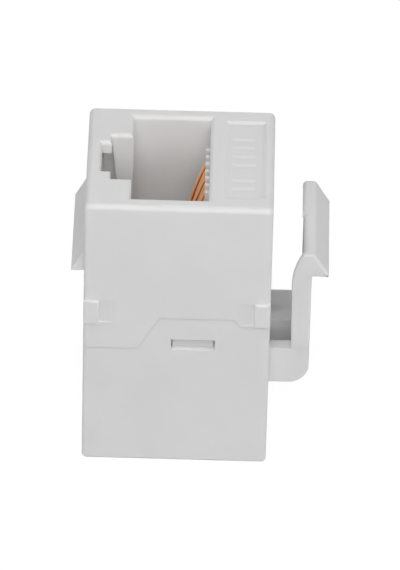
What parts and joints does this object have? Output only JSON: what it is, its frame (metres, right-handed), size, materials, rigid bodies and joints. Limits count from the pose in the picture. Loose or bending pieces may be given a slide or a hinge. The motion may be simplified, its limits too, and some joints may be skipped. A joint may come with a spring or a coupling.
{
  "type": "keystone coupler",
  "caption": "Snap-in coupler body with a modular plug socket at each end, comb-guided spring contacts, a fixed catch on one side and a flexing latch arm on the other.",
  "frame": {"origin": "middle of the rear face, on the plug axis of the rear socket's side of the body", "axes": "+Z along the plugs' way in, from the rear socket to the front socket; +X from the fixed catch to the flexing latch; +Y across the body"},
  "size_m": [0.022, 0.015, 0.0272],
  "materials": {
    "housing_plastic": "fine satin moulded finish",
    "comb_plastic": "fine satin moulded finish",
    "board": "glass-fibre laminate under green solder mask",
    "contact_wire": "bright gilt spring wire"
  },
  "bodies": {
    "housing": {"front_housing": "housing_plastic", "rear_housing": "housing_plastic", "front_contact_base": "comb_plastic", "front_contact_comb": "comb_plastic", "rear_contact_base": "comb_plastic", "rear_contact_comb": "comb_plastic", "circuit_board": "board", "front_contact_1": "contact_wire", "front_contact_2": "contact_wire", "front_contact_3": "contact_wire", "front_contact_4": "contact_wire", "front_contact_5": "contact_wire", "front_contact_6": "contact_wire", "front_contact_7": "contact_wire", "front_contact_8": "contact_wire", "rear_contact_1": "contact_wire", "rear_contact_2": "contact_wire", "rear_contact_3": "contact_wire", "rear_contact_4": "contact_wire", "rear_contact_5": "contact_wire", "rear_contact_6": "contact_wire", "rear_contact_7": "contact_wire", "rear_contact_8": "contact_wire"},
    "latch": {"release_latch": "housing_plastic"}
  },
  "joints": [
    {"name": "latch_flex", "type": "hinge", "parent": "housing", "child": "latch", "pos_m": [0.00985, 0, 0.01115], "axis": [0, -1, 0], "range_deg": [0, 12], "stiffness_Nm_per_rad": 0.3}
  ]
}
